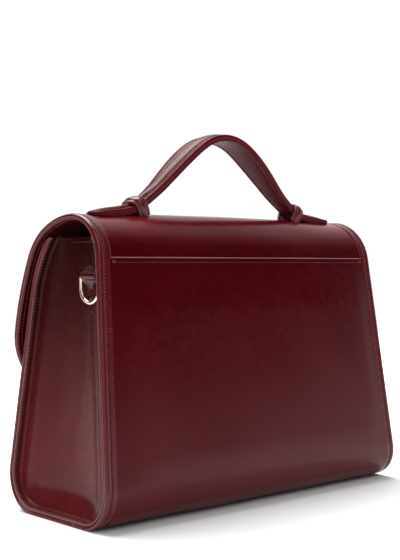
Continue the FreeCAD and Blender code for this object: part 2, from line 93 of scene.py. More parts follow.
# ---- details ----
GUSSET_RECESS = 7.4
GUSSET_SAG = 5.6
GUSSET_FILLET = 2.2
GUSSET_EDGE = 0.6
POCKET_TOP_Z = 180.0
POCKET_LEATHER = 0.9
HANDLE_Y = 4.6
STRAP_CROWN = 0.75
GRIP_HALF_WIDTH = 12.5
FOOT_HALF_WIDTH = 7.5
GRIP_HALF_LENGTH = 30.0
TAPER_END_X = 66.0
END_TIP_X = 123.0
RING_STAND_OFF = 5.6
SHEET_INSET = 1.4           # panels end this far inside the bag's side edges
FACING_INSET = 0.8
LINING_INSET = 1.3
RING_WIRE = 1.4             # radius of the D-ring's wire
SHARP_ANGLE = math.radians(38.0)


def smooth(low, high, value):
    """0 below low, 1 above high, and a smooth ramp between them."""
    t = np.clip((value - low) / (high - low), 0.0, 1.0)
    return t * t * (3.0 - 2.0 * t)


def hump(value, centre, width):
    return np.exp(-((value - centre) / width) ** 2)


# ---- outlines ----
class Outline:
    """A curve of lines and arcs in the side view, walked by length from its start."""

    def __init__(self, start, moves, side):
        self.side = side
        self.parts = []
        self.length = 0.0
        y, z, heading = start
        for move in moves:
            self.parts.append((self.length, y, z, heading, move))
            self.length += move[1] if move[0] == "line" else move[1] * math.radians(abs(move[2]))
            y, z, heading = (float(value) for value in self.at(self.length))
        self.end = (y, z, heading)

    def at(self, s):
        """y, z and heading at each length."""
        s = np.asarray(s, float)
        found = np.zeros((3, *s.shape))
        for index, (begin, y, z, start, move) in enumerate(self.parts):
            local = s - begin
            if move[0] == "line":
                here = (y + local * math.cos(start), z + local * math.sin(start), start + 0 * s)
            else:
                radius = math.copysign(move[1], move[2])
                heading = start + local / radius
                here = (y + radius * (np.sin(heading) - math.sin(start)),
                        z - radius * (np.cos(heading) - math.cos(start)), heading)
            found = np.where((s >= begin) | (index == 0), here, found)
        return found

    def outward(self, s):
        heading = self.at(s)[2]
        return self.side * np.sin(heading), -self.side * np.cos(heading)

    def half(self, s):
        """Half width of the bag at each length."""
        return HALF_BASE - SIDE_LEAN * self.at(s)[1]

    def swell(self, x, s):
        return 0.0 * x * s

    def place(self, x, s, depth):
        """Points at x, at a length along the outline and a depth under the outer face."""
        x, s, depth = np.broadcast_arrays(np.asarray(x, float), np.asarray(s, float),
                                          np.asarray(depth, float))
        y, z, _ = self.at(s)
        out_y, out_z = self.outward(s)
        lift = self.swell(x, s) - depth
        return np.stack([x, y + out_y * lift, z + out_z * lift], axis=-1)

    def length_at_height(self, height, depth=0.0):
        """The first length where the surface at that depth reaches a height."""
        s = np.linspace(0.0, self.length, 4000)
        z = self.at(s)[1] - depth * self.outward(s)[1]
        return float(s[np.argmax(z >= height)])


lean_tan = math.tan(WALL_LEAN)
arch_centre_z = TOP_HEIGHT - ARCH_RADIUS
rear_reach = REAR_CORNER_RADIUS * (1 + math.sin(WALL_LEAN))
front_reach = FRONT_CORNER_RADIUS * (1 + math.sin(WALL_LEAN))
rear_centre_y = BACK_FOOT_Y - rear_reach * lean_tan - REAR_CORNER_RADIUS * math.cos(WALL_LEAN)
front_centre_y = FRONT_FOOT_Y + front_reach * lean_tan + FRONT_CORNER_RADIUS * math.cos(WALL_LEAN)
lean_degrees = math.degrees(WALL_LEAN)
back_line = (arch_centre_z + ARCH_RADIUS * math.sin(WALL_LEAN) - rear_reach) / math.cos(WALL_LEAN)
front_line = (FRONT_CURL_HEIGHT - front_reach) / math.cos(WALL_LEAN)

wrap_moves = [("arc", REAR_CORNER_RADIUS, 90.0 + lean_degrees), ("line", back_line),
              ("arc", ARCH_RADIUS, 90.0 - lean_degrees)]
wrap_moves += [("arc",) + stretch for stretch in FLAP_CURVE]
skirt_top = Outline((rear_centre_y, 0.0, 0.0), wrap_moves, 1).end[1]
wrap = Outline((rear_centre_y, 0.0, 0.0), wrap_moves + [("line", skirt_top - FLAP_BOTTOM)], 1)
tray_moves = [("line", rear_centre_y - front_centre_y), ("arc", FRONT_CORNER_RADIUS, -90.0 - lean_degrees),
              ("line", front_line), ("arc",) + FRONT_CURL, ("line", 20.0)]
tray = Outline((rear_centre_y, 0.0, math.pi), tray_moves, -1)

flap_joint = next(joint for joint in frame["joints"] if joint["name"] == "flap_open")
hinge_y, hinge_z = (c / MM for c in flap_joint["pos_m"][1:])
CORNER_END = REAR_CORNER_RADIUS * (math.pi / 2 + WALL_LEAN)
BACK_END = CORNER_END + back_line
HINGE_S = wrap.length_at_height(199.0)
CROWN_S = BACK_END + ARCH_RADIUS * (math.pi / 2 - WALL_LEAN)
WRAP_END = wrap.length
TRAY_END = tray.length_at_height(FRONT_TOP)
BASE_END = rear_centre_y - front_centre_y
FRONT_WALL_S = BASE_END + FRONT_CORNER_RADIUS * (math.pi / 2 + WALL_LEAN)


def wrap_swell(x, s):
    """The wrap bulges up along the crown between the keepers, and is softly uneven elsewhere."""
    wide = 2.2 * (1 - smooth(60, 118, abs(x)))
    crown = smooth(HINGE_S - 2, CROWN_S - 6, s) * (1 - smooth(CROWN_S + 26, CROWN_S + 78, s))
    edge = 1 - smooth(0.86, 0.97, abs(x) / wrap.half(s))
    back = smooth(10, 60, s) * (1 - smooth(BACK_END - 40, BACK_END + 8, s))
    belly = 2.4 * back * (0.5 * (1 - (x / 140) ** 2) + 0.5 * (1 - np.abs(x / 134) ** 14))
    waves = 0.22 * np.sin(x / 31 + 0.8) * np.sin(s / 37 + 0.4) + 0.12 * np.sin(x / 17 - s / 23)
    front = smooth(CROWN_S + 60, CROWN_S + 100, s) * (1 - smooth(WRAP_END - 60, WRAP_END - 10, s))
    return edge * (wide * crown + belly + waves + 0.5 * front * (1 - (x / 140) ** 2))


def tray_swell(x, s):
    """The front wall is softly uneven; the base stays flat."""
    wall = smooth(FRONT_WALL_S, FRONT_WALL_S + 40, s) * (1 - smooth(TRAY_END - 40, TRAY_END, s))
    edge = 1 - smooth(0.84, 0.96, abs(x) / tray.half(s))
    return edge * wall * (0.5 + 0.2 * np.sin(x / 29 + 1.1) * np.sin(s / 33))


wrap.swell = wrap_swell
tray.swell = tray_swell


# ---- mesh helpers ----
def quads(rows, columns, first=0, closed=False):
    """Faces of a grid of points stored row by row; closed joins the last column to the first."""
    grid = first + np.arange(rows * columns).reshape(rows, columns)
    if closed:
        grid = np.concatenate([grid, grid[:, :1]], axis=1)
    corners = [grid[:-1, :-1], grid[:-1, 1:], grid[1:, 1:], grid[1:, :-1]]
    return np.stack(corners, axis=-1).reshape(-1, 4).tolist()


def tube(rings, looped=False):
    """A closed solid through closed rings of points, with flat ends, or looped back to the first."""
    count, around = rings.shape[:2]
    faces = quads(count, around, closed=True)
    last = (count - 1) * around
    if looped:
        faces += [(last + j, last + (j + 1) % around, (j + 1) % around, j) for j in range(around)]
    else:
        faces += [tuple(range(around))[::-1], tuple(range(last, last + around))]
    return rings.reshape(-1, 3), faces


def slab(outer, inner):
    """A closed solid between two grids of the same shape."""
    rows, columns = outer.shape[:2]
    count = rows * columns
    grid = np.arange(count).reshape(rows, columns)
    rim = np.concatenate([grid[0], grid[1:, -1], grid[-1, -2::-1], grid[-2:0:-1, 0]]).tolist()
    faces = quads(rows, columns) + [face[::-1] for face in quads(rows, columns, first=count)]
    faces += [(b, a, a + count, b + count) for a, b in zip(rim, rim[1:] + rim[:1])]
    return np.concatenate([outer.reshape(-1, 3), inner.reshape(-1, 3)]), faces


def merged(shapes):
    """Several (verts, faces) shapes as one."""
    verts, faces, first = [], [], 0
    for points, polygons in shapes:
        verts.append(np.asarray(points))
        faces += [tuple(first + i for i in polygon) for polygon in polygons]
        first += len(points)
    return np.concatenate(verts), faces


def mirrored(shape):
    verts, faces = shape
    return verts * np.array([-1.0, 1.0, 1.0]), [face[::-1] for face in faces]


def shown(name, data):
    obj = bpy.data.objects.new(name, data)
    bpy.context.scene.collection.objects.link(obj)
    return obj


def add(name, shape, material, slot, *nodes, body="bag"):
    """A Blender piece from a shape in millimetres, attached to one body; given two bodies, it is only baked
    in place.
    """
    verts, faces = shape
    mesh = bpy.data.meshes.new(name)
    mesh.from_pydata((np.asarray(verts) * MM).tolist(), [], faces)
    work = bmesh.new()
    work.from_mesh(mesh)
    bmesh.ops.recalc_face_normals(work, faces=work.faces)
    work.to_mesh(mesh)
    work.free()
    mesh.polygons.foreach_set("use_smooth", [True] * len(mesh.polygons))
    mesh.set_sharp_from_angle(angle=SHARP_ANGLE)
    mesh.materials.append(material)
    piece = shown(name, mesh)
    if isinstance(body, str):
        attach(piece, body)
    else:
        low, high, start, end = body
        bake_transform(piece)
        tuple(start)
        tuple(end)
    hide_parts(*nodes)
    return piece


def add_sides(*pieces, body="bag"):
    """Pieces on the right, then their mirror images on the left; {} stands for the side."""
    for side, turn in (("right", lambda shape: shape), ("left", mirrored)):
        for name, shape, material, slot, *nodes in pieces:
            nodes = [each.format(side) for each in nodes]
            add(name.format(side), turn(shape), material, slot, *nodes, body=body.format(side))


def node_box(name):
    """A CAD node's box corners in millimetres."""
    return (np.array(corner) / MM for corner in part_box(name))


def unit(vectors):
    return vectors / np.linalg.norm(vectors, axis=1)[:, None]


def beside(flat):
    """Unit vectors to the right of a flat line, at its points."""
    ahead = unit(np.gradient(flat, axis=0))
    return np.stack([ahead[:, 1], -ahead[:, 0]], axis=1)


def relaxed(line, rounds):
    for _ in range(rounds):
        line[1:-1] = (line[:-2] + 2 * line[1:-1] + line[2:]) / 4
    return line


def walked(points):
    """Length from the start at each point of a line."""
    return np.concatenate([[0.0], np.cumsum(np.linalg.norm(np.diff(points, axis=0), axis=1))])


def interpolated(wanted, known, values):
    return np.stack([np.interp(wanted, known, column) for column in values.T], axis=1)


def thicken(verts, faces, start, end):
    """A closed solid between two depths behind an open sheet, along its vertex normals."""
    index = np.array(faces)
    corners = verts[index]
    face_normals = np.cross(corners[:, 2] - corners[:, 0], corners[:, 3] - corners[:, 1])
    normals = np.zeros_like(verts)
    for corner in range(4):
        np.add.at(normals, index[:, corner], face_normals)
    normals /= np.linalg.norm(normals, axis=1)[:, None] + 1e-12
    count = len(verts)
    edges = {edge: True for face in faces for edge in zip(face, face[1:] + face[:1])}
    solid = list(faces) + [tuple(i + count for i in face[::-1]) for face in faces]
    solid += [(b, a, a + count, b + count) for a, b in edges if (b, a) not in edges]
    return np.concatenate([verts - normals * start, verts - normals * end]), solid


def seam(place, x, s, depth, toward=-1.0):
    """Points of a stitch line, and normals out of the surface, or into it with toward=1."""
    points = place(x, s, depth)
    return points, place(x, s, depth + toward) - points


# Along one thread: share of its half length, thickness, and height of its middle line.
THREAD_SHAPE = ((-1.0, 0.35, -0.9), (-0.86, 0.8, -0.25), (-0.45, 1.0, 0.1), (0.0, 1.05, 0.2),
                (0.45, 1.0, 0.1), (0.86, 0.8, -0.25), (1.0, 0.35, -0.9))
THREAD_SHARE = 0.28         # a thread's half length, as a share of the pitch


def stitch_row(points, normals, pitch=STITCH_PITCH, radius=THREAD_RADIUS, slant=0.16):
    """Separate threads along a line on a surface; their ends dip into the leather."""
    lengths = walked(points)
    count = max(1, int(lengths[-1] / pitch))
    wanted = (np.arange(count) + 0.5) * lengths[-1] / count
    centre = interpolated(wanted, lengths, points)
    tangent = unit(interpolated(wanted + 0.3, lengths, points) - interpolated(wanted - 0.3, lengths, points))
    up = interpolated(wanted, lengths, normals)
    up = unit(up - tangent * np.sum(up * tangent, axis=1)[:, None])
    tangent = tangent * math.cos(slant) + np.cross(up, tangent) * math.sin(slant)
    side = np.cross(up, tangent)
    along, thick, height = (column[:, None, None] for column in np.array(THREAD_SHAPE).T)
    angles = (np.arange(6) * math.pi / 3)[:, None]
    rings = (centre[:, None, None] + along * pitch * THREAD_SHARE * tangent[:, None, None]
             + (height + thick * np.sin(angles)) * radius * up[:, None, None]
             + thick * np.cos(angles) * radius * side[:, None, None])
    return merged([tube(ring) for ring in rings])


def needle_holes(points, normals, radius=0.78):
    """Painted shade of needle holes: small dark shallow closed lenses between the threads of a row."""
    lengths = walked(points)
    step = lengths[-1] / max(1, int(lengths[-1] / STITCH_PITCH))
    wanted = np.arange(0, lengths[-1] + 0.5 * step, step)
    centre = interpolated(wanted, lengths, points)
    up = unit(interpolated(wanted, lengths, normals))
    tangent = np.gradient(centre, axis=0)
    tangent = unit(tangent - up * np.sum(tangent * up, axis=1)[:, None])
    faces = [(j, (j + 1) % 8, 8) for j in range(8)] + [((j + 1) % 8, j, 9) for j in range(8)]
    shapes = []
    for middle, ahead, across, out in zip(centre, tangent, np.cross(up, tangent), up):
        ring = [middle + radius * (0.8 * math.cos(a) * ahead + 1.1 * math.sin(a) * across) - 0.03 * out
                for a in np.arange(8) * math.pi / 4]
        shapes.append((np.array(ring + [middle + 0.09 * out, middle - 0.3 * out]), faces))
    return merged(shapes)


# ---- materials ----
def new_material(name):
    material = bpy.data.materials.new(name)
    material.use_nodes = True
    tree = material.node_tree
    coordinates = tree.nodes.new("ShaderNodeTexCoord").outputs["Object"]
    return material, tree, tree.nodes["Principled BSDF"], coordinates


def fill(tree, target, **inputs):
    """Sets or links a node's sockets; an underscore in a keyword stands for a space."""
    for key, value in inputs.items():
        socket = target.inputs[key.replace("_", " ")]
        if isinstance(value, bpy.types.NodeSocket):
            tree.links.new(value, socket)
        else:
            socket.default_value = value
    return target


def mapped(tree, source, low, high, start=0.0, end=1.0):
    step = tree.nodes.new("ShaderNodeMapRange")
    fill(tree, step, Value=source, From_Min=start, From_Max=end, To_Min=low, To_Max=high)
    return step.outputs["Result"]


def noise(tree, coordinates, scale, detail=2.0, roughness=0.5):
    texture = tree.nodes.new("ShaderNodeTexNoise")
    fill(tree, texture, Vector=coordinates, Scale=scale, Detail=detail, Roughness=roughness)
    return texture.outputs["Fac"]


def mixed(tree, factor, first, second, blend="MIX"):
    """A colour mix; a number stands for a grey, and three numbers for a colour."""
    mix = tree.nodes.new("ShaderNodeMix")
    mix.data_type = "RGBA"
    mix.blend_type = blend
    first, second = ((c, c, c) if isinstance(c, float) else c for c in (first, second))
    first, second = ((*c, 1.0) if isinstance(c, tuple) else c for c in (first, second))
    return fill(tree, mix, Factor=factor, A=first, B=second).outputs["Result"]


def grain_bump(tree, coordinates, layers):
    """Stacked noise bumps; each layer is (scale per metre, height in metres)."""
    below = {}
    for scale, height in layers:
        bump = tree.nodes.new("ShaderNodeBump")
        fill(tree, bump, Strength=1.0, Distance=height, Height=noise(tree, coordinates, scale), **below)
        below = {"Normal": bump.outputs["Normal"]}
    return below["Normal"]


def toned(tree, coordinates, colour, stops):
    """Painted light and shade by height: scale a colour with height above the table; each stop is (height in
    metres, share).
    """
    parts = fill(tree, tree.nodes.new("ShaderNodeSeparateXYZ"), Vector=coordinates)
    reach = stops[-1][0]
    ramp = tree.nodes.new("ShaderNodeValToRGB")
    fill(tree, ramp, Fac=mapped(tree, parts.outputs["Z"], 0.0, 1.0, 0.0, reach))
    elements = ramp.color_ramp.elements
    for element, (_, share) in zip(elements, (stops[0], stops[-1])):
        element.color = (share, share, share, 1.0)
    for height, share in stops[1:-1]:
        elements.new(height / reach).color = (share, share, share, 1.0)
    return mixed(tree, 1.0, colour, ramp.outputs["Color"], "MULTIPLY")


def leather(name, dark, light, roughness, grain, specular=0.22, painted_shade=(), coat=0.0):
    """Dyed leather: mottled colour, uneven polish and a fine grain; where given, painted light and shade by
    height.
    """
    material, tree, shader, coordinates = new_material(name)
    mottle = mapped(tree, noise(tree, coordinates, 34.0, 5.0, 0.55), 0.0, 1.0, 0.32, 0.68)
    colour = mixed(tree, mottle, dark, light)
    if painted_shade:
        colour = toned(tree, coordinates, colour, painted_shade)
    polish = noise(tree, coordinates, 210.0, 4.0, 0.6)
    fill(tree, shader, Base_Color=colour, Normal=grain_bump(tree, coordinates, grain),
         Roughness=mapped(tree, polish, roughness - 0.05, roughness + 0.05, 0.3, 0.7),
         Specular_IOR_Level=specular, Coat_Weight=coat, Coat_Roughness=0.2)
    return material


def suede(name, dark, light):
    """Matte brushed lining leather with a soft nap."""
    material, tree, shader, coordinates = new_material(name)
    nap = mapped(tree, noise(tree, coordinates, 520.0, 6.0, 0.7), 0.0, 1.0, 0.3, 0.7)
    fill(tree, shader, Base_Color=mixed(tree, nap, dark, light), Roughness=0.9, Sheen_Weight=0.35,
         Sheen_Roughness=0.5, Sheen_Tint=(0.6, 0.25, 0.28, 1.0),
         Normal=grain_bump(tree, coordinates, [(2400.0, 0.00012)]))
    return material


def metal(name, colour, roughness):
    """Plated metal with faint brushing and handling marks."""
    material, tree, shader, coordinates = new_material(name)
    marks = noise(tree, coordinates, 900.0, 3.0, 0.6)
    fill(tree, shader, Roughness=mapped(tree, marks, roughness - 0.04, roughness + 0.07),
         Base_Color=(*colour, 1.0), Metallic=1.0,
         Normal=grain_bump(tree, coordinates, [(1800.0, 0.000006)]))
    return material


SMOOTH_GRAIN = ((800.0, 0.000003), (90.0, 0.00002))
HANDLE_GRAIN = ((500.0, 0.000001), (80.0, 0.000008))
# Painted light and shade on the panels, by height: the colour is lighter on the rounded top and towards the
# base, and darkest under the top, where shade falls.
PANEL_PAINTED_SHADE = ((0.0, 0.68), (0.03, 0.62), (0.08, 0.53), (0.12, 0.48), (0.165, 0.44), (0.186, 0.40),
              (0.196, 0.56), (0.204, 0.85), (0.210, 1.0))
# Painted shade on the gussets, by height: full colour near the base, darkening towards the top in the shade
# under the arch.
GUSSET_PAINTED_SHADE = ((0.0, 1.0), (0.04, 1.0), (0.08, 0.85), (0.12, 0.60), (0.155, 0.38), (0.195, 0.26))
wine_panel = leather("wine_panel_leather", (0.106, 0.0012, 0.0060), (0.126, 0.0018, 0.0078), 0.22,
                     SMOOTH_GRAIN, 0.20, PANEL_PAINTED_SHADE)
wine_gusset = leather("wine_gusset_leather", (0.062, 0.0062, 0.0075), (0.078, 0.0085, 0.0098), 0.27,
                      SMOOTH_GRAIN, 0.10, GUSSET_PAINTED_SHADE)
wine_trim = leather("wine_trim_leather", (0.074, 0.0022, 0.0060), (0.088, 0.0030, 0.0078), 0.25,
                    SMOOTH_GRAIN, 0.38)
wine_handle = leather("wine_handle_leather", (0.070, 0.0011, 0.0048), (0.088, 0.0018, 0.0064), 0.34,
                      HANDLE_GRAIN, 0.12)
wine_under = leather("wine_handle_lining", (0.058, 0.004, 0.007), (0.074, 0.006, 0.010), 0.44,
                     HANDLE_GRAIN, 0.10)
# A darker copy of the trim leather for the ring tabs: painted shade, as they sit in shade under the arch.
wine_tab_painted_shade = leather("wine_tab_leather", (0.038, 0.0012, 0.0030), (0.048, 0.0018, 0.0040), 0.26,
                   SMOOTH_GRAIN, 0.26)
wine_facing = leather("wine_facing_leather", (0.030, 0.0010, 0.0024), (0.038, 0.0014, 0.0032), 0.30,
                      SMOOTH_GRAIN, 0.12)
edge_paint = leather("rose_grey_edge_paint", (0.105, 0.038, 0.038), (0.150, 0.062, 0.060), 0.36,
                     ((400.0, 0.00006),), coat=0.1)
pocket_paint = leather("rose_pocket_edge_paint", (0.24, 0.085, 0.092), (0.31, 0.125, 0.13), 0.34,
                       ((400.0, 0.00005),), coat=0.1)
thread = leather("wine_thread", (0.120, 0.0240, 0.0260), (0.160, 0.0360, 0.0380), 0.55,
                 ((3200.0, 0.0001),), 0.12)
# Near-black colour of the painted needle-hole shade.
hole_shade_colour = leather("needle_hole_shadow", (0.0030, 0.0004, 0.0006), (0.0060, 0.0006, 0.0010), 0.9,
              ((900.0, 0.00005),), 0.02)
lining_suede = suede("wine_lining_suede", (0.055, 0.010, 0.014), (0.085, 0.018, 0.023))
fibre_board = suede("fibre_board", (0.16, 0.12, 0.09), (0.22, 0.17, 0.13))
pale_gold = metal("pale_rose_gold", (0.93, 0.72, 0.56), 0.16)
steel = metal("washer_steel", (0.55, 0.55, 0.56), 0.34)


# ---- flat layouts on the outlines ----
SPACING = 2.6               # mesh spacing along edges


class Border:
    """The free edge of a sheet laid out flat: up the right side, round the far end, down the left."""

    def __init__(self, outline, first, last, radius):
        self.outline, self.radius = outline, radius
        slope = float(outline.half(last) - outline.half(last - radius)) / radius
        self.tilt = math.atan(slope)
        self.centre_x = float(outline.half(last)) - slope * radius - radius / math.cos(self.tilt)
        self.centre_s = last - radius
        side_s, phi = self.steps(first, radius)
        side_x = outline.half(side_s)
        drift = np.gradient(side_x, side_s)
        size = np.sqrt(1 + drift ** 2)
        across = np.linspace(self.centre_x, 0.0, int(self.centre_x / (2 * SPACING)) + 1)[1:]
        x = np.concatenate([side_x, self.centre_x + radius * np.cos(phi), across])
        s = np.concatenate([side_s, self.centre_s + radius * np.sin(phi), np.full_like(across, last)])
        nx = np.concatenate([1 / size, np.cos(phi), np.zeros_like(across)])
        ns = np.concatenate([-drift / size, np.sin(phi), np.ones_like(across)])
        self.x, self.nx = (np.concatenate([half, -half[-2::-1]]) for half in (x, nx))
        self.s, self.ns = (np.concatenate([half, half[-2::-1]]) for half in (s, ns))

    def steps(self, first, radius):
        """Lengths up the straight side, and angles round the corner."""
        turn_s = self.centre_s - radius * math.sin(self.tilt)
        straight = np.linspace(first, turn_s, int((turn_s - first) / SPACING) + 2)
        return straight, np.linspace(-self.tilt, math.pi / 2, max(8, int(radius * 1.6 / SPACING)) + 1)[1:]

    def sheet(self, first, inset, shallow, deep, columns=61):
        """A closed sheet between two depths, inside an inset from this border."""
        radius = self.radius - inset
        straight, phi = self.steps(first, radius)
        s = np.concatenate([straight, self.centre_s + radius * np.sin(phi)])
        past = s - self.centre_s
        arc = self.centre_x + np.sqrt(np.maximum(radius ** 2 - past ** 2, 0.0))
        limit = np.where(past > -radius * math.sin(self.tilt), arc, self.outline.half(s) - inset)
        return sheet(self.outline, s, limit, shallow, deep, columns)

    def sweep(self, profile, rib=None):
        """A closed trim along the border. The profile is (inset, height over the outer face)."""
        insets, heights = np.array(profile).T
        x = self.x[:, None] - self.nx[:, None] * insets
        s = self.s[:, None] - self.ns[:, None] * insets
        scale = rib(self.s)[:, None] if rib else 1.0
        return tube(self.outline.place(x, s, -np.where(heights > 0, heights * scale, heights)))

    def seam(self, height, rib=None, after=0.0):
        """Points and normals of the stitch line, past a length from the outline's start."""
        x, s = self.x - self.nx * STITCH_INSET, self.s - self.ns * STITCH_INSET
        inside = self.s > after
        points, normals = seam(self.outline.place, x, s, -height * (rib(self.s) if rib else 1.0))
        return points[inside], normals[inside]


def sheet(outline, s, limit, shallow, deep, columns):
    """A closed sheet between two depths, over rows of given lengths and half widths."""
    x = limit[:, None] * np.linspace(-1.0, 1.0, columns)
    return slab(outline.place(x, s[:, None], shallow), outline.place(x, s[:, None], deep))


def window(outline, first, last, inset, shallow, deep, columns=41):
    """A closed sheet from one length to another, inside an inset from the side edges."""
    s = np.linspace(first, last, max(2, int((last - first) / (2 * SPACING))) + 1)
    return sheet(outline, s, outline.half(s) - inset, shallow, deep, columns)


# Edge trim: a rounded bead, a stitch channel and a flat strip; (inset, height).
EDGE_PROFILE = [(10.75, -0.3), (10.72, 0.2), (10.55, 0.5), (10.15, 0.68), (9.4, 0.74), (8.4, 0.76),
                (7.2, 0.78), (6.3, 0.76), (5.9, 0.72), (5.55, 0.62), (5.3, 0.58), (4.5, 0.58),
                (4.25, 0.64), (3.95, 0.78), (3.6, 0.9), (2.9, 1.02), (2.1, 1.02), (1.4, 0.9), (0.8, 0.62),
                (0.35, 0.2), (0.1, -0.3), (0.0, -0.85), (0.06, -1.35), (0.3, -1.78), (0.7, -2.02),
                (1.3, -2.08), (1.8, -1.9), (2.1, -1.0), (6.0, -0.7), (10.6, -0.6)]
CHANNEL_FLOOR = 0.6
CHANNEL_HEIGHT = 0.66        # where the threads lie in the channel
# The thin painted edge of a lining or facing, under the trim.
FACING_EDGE = [(2.4, -2.16), (1.1, -2.14), (0.5, -2.16), (0.26, -2.28), (0.2, -2.5), (0.26, -2.72),
               (0.5, -2.86), (1.2, -2.9), (2.4, -2.87)]


wrap_border = Border(wrap, 0.0, WRAP_END, FLAP_CORNER)
tray_border = Border(tray, 0.0, TRAY_END, FRONT_TOP_CORNER)
FACING_START = HINGE_S - 10
HINGE = ("bag", "flap", (0.0, (hinge_y + 3.4) * MM, (hinge_z - 1.4) * MM),
         (0.0, (hinge_y - 12.4) * MM, (hinge_z + 5.2) * MM))
HANDLE_FOOT = ("flap", "handle", (0, HANDLE_Y * MM, 0.2215), (0, HANDLE_Y * MM, 0.2345))


def wrap_rib(s):
    return smooth(CORNER_END * 0.18, CORNER_END * 0.62, s)


def tray_rib(s):
    return 0.85 * smooth(BASE_END + 12, FRONT_WALL_S, s)


# ---- body panels ----
def add_seam(name, border, rib, first, body):
    """Threads in the border's stitch channel, with painted needle-hole shade between them."""
    threads = stitch_row(*border.seam(CHANNEL_HEIGHT, rib, first))
    add(name + "_stitching", threads, thread, "trim_leather", body=body)
    holes = needle_holes(*border.seam(CHANNEL_FLOOR, rib, first))
    add(name + "_needle_holes", holes, hole_shade_colour, "trim_leather", body=body)


def make_wrap():
    panel = wrap_border.sheet(0.0, SHEET_INSET, 0.0, LEATHER, columns=73)
    add("back_and_flap_leather", panel, wine_panel, "panel_leather", "back_panel", "flap_panel", body=HINGE)
    add("back_and_flap_edge_trim", wrap_border.sweep(EDGE_PROFILE, wrap_rib), wine_trim, "trim_leather",
        "back_edge_strip_left", "back_edge_strip_right", "flap_border_strip", body=HINGE)
    add_seam("back_and_flap", wrap_border, wrap_rib, CORNER_END * 0.45, HINGE)
    facing = wrap_border.sheet(FACING_START, FACING_INSET, LINING_START, LINING_END)
    add("flap_facing", facing, wine_facing, "lining_leather", "flap_lining", body=HINGE)
    border = Border(wrap, FACING_START, WRAP_END, FLAP_CORNER)
    add("flap_facing_painted_edge", border.sweep(FACING_EDGE), edge_paint, "lining_leather", body=HINGE)
    threads = stitch_row(*border.seam(-LINING_END - 0.02))
    add("flap_facing_stitching", threads, thread, "lining_leather", body=HINGE)


def make_tray():
    base = window(tray, -3.0, BASE_END + 3.0, SHEET_INSET, 0.0, LEATHER)
    add("base_leather", base, wine_panel, "panel_leather", "base_panel")
    front = tray_border.sheet(BASE_END + 0.3, SHEET_INSET, 0.0, LEATHER)
    add("front_leather", front, wine_panel, "panel_leather", "front_panel")
    add("base_and_front_edge_trim", tray_border.sweep(EDGE_PROFILE, tray_rib), wine_trim, "trim_leather")
    add_seam("front", tray_border, tray_rib, BASE_END + 26, "bag")


def make_lining():
    """The lining runs from the front's top down, under and up the back; a tape covers its end."""
    front_s = np.linspace(TRAY_END - 1.2, 0.0, 110)
    back_s = np.linspace(0.0, HINGE_S - 10.2, 90)[1:]
    across = np.linspace(-1.0, 1.0, 41)
    inner, outer = (np.concatenate([outline.place((outline.half(s) - LINING_INSET)[:, None] * across,
                                                  s[:, None], depth)
                                    for outline, s in ((tray, front_s), (wrap, back_s))])
                    for depth in (LINING_START, LINING_END))
    add("body_lining_suede", slab(inner, outer), lining_suede, "lining_leather", "body_lining")
    tape = window(wrap, HINGE_S - 15, HINGE_S - 5, 15, LINING_END, LINING_END + 0.8)
    add("lining_seam_tape", tape, wine_trim, "lining_leather")
    x = np.linspace(-118, 118, 120)
    rows = [stitch_row(*seam(wrap.place, x, HINGE_S + offset, LINING_END + 0.82, 1.0))
            for offset in (-13.2, -6.8)]
    add("seam_tape_stitching", merged(rows), thread, "lining_leather")


def make_boards():
    boards = (("back_board", wrap, CORNER_END, BACK_END, "bag", 13.0),
              ("base_board", tray, 1.0, BASE_END - 1.0, "bag", 13.0),
              ("front_board", tray, FRONT_WALL_S, FRONT_WALL_S + front_line, "bag", 13.0),
              ("flap_board", wrap, CROWN_S + 62, WRAP_END - 48, "flap", 14.0),
              ("handle_reinforcement", wrap, HINGE_S + 17, CROWN_S + 34, "flap", 20.0))
    for name, outline, first, last, body, inset in boards:
        shape = window(outline, first, last, inset, BOARD_START, BOARD_END, 25)
        add("stiffener_" + name, shape, fibre_board, "board", name, body=body)


# ---- back pocket ----
def make_back_pocket():
    top_s = wrap.length_at_height(POCKET_TOP_Z)

    def side(s):
        return wrap.half(s) - BORDER_WIDTH + 1.2

    def lifted(x, s, depth):
        puff = 0.55 * smooth(top_s - 70, top_s, s) * (1 - (x / 131) ** 2)
        return wrap.place(x, s, depth - puff)

    s = np.concatenate([np.linspace(CORNER_END * 0.34, CORNER_END, 12)[:-1],
                        np.linspace(CORNER_END, top_s, 62)])
    x = side(s)[:, None] * np.linspace(-1, 1, 61)
    panel = slab(lifted(x, s[:, None], -POCKET_LEATHER), lifted(x, s[:, None], 0.05))
    add("back_pocket_leather", panel, wine_panel, "panel_leather", "back_pocket_panel")
    end = float(side(top_s)) - 0.9
    line_x = np.linspace(-end, end, 120)
    bead = 0.52
    rings = np.stack([lifted(line_x, top_s + 0.1 + bead * math.sin(a), -0.42 - bead * math.cos(a))
                      for a in np.linspace(0, 2 * math.pi, 13)[:-1]], axis=1)
    add("back_pocket_painted_edge", tube(rings), pocket_paint, "panel_leather")
    row = seam(lifted, line_x, top_s - 3.1, -POCKET_LEATHER - 0.02)
    # Painted needle-hole shade along the pocket's stitch row.
    add("back_pocket_needle_holes", needle_holes(*row), hole_shade_colour, "trim_leather")
    rows = [stitch_row(*row)]
    tack_s = np.linspace(top_s - 4.6, top_s - 0.6, 6)
    for end_side in (-1, 1):
        for k in range(4):
            tack = seam(lifted, end_side * (end - 0.8 - 0.55 * k), tack_s, -POCKET_LEATHER - 0.05)
            rows.append(stitch_row(*tack, pitch=3.8, radius=0.3, slant=0.05))
    add("back_pocket_stitching", merged(rows), thread, "trim_leather")


# ---- gussets ----
CORNER_STEPS = 12
WALL_STEPS = 61
SIDE_STEPS = CORNER_STEPS + WALL_STEPS
BASE_STEPS = 26


def from_edge(y, z, inset):
    """Points at a distance in from the bag's right edge."""
    return np.stack([HALF_BASE - SIDE_LEAN * z - inset, y, z], axis=-1)


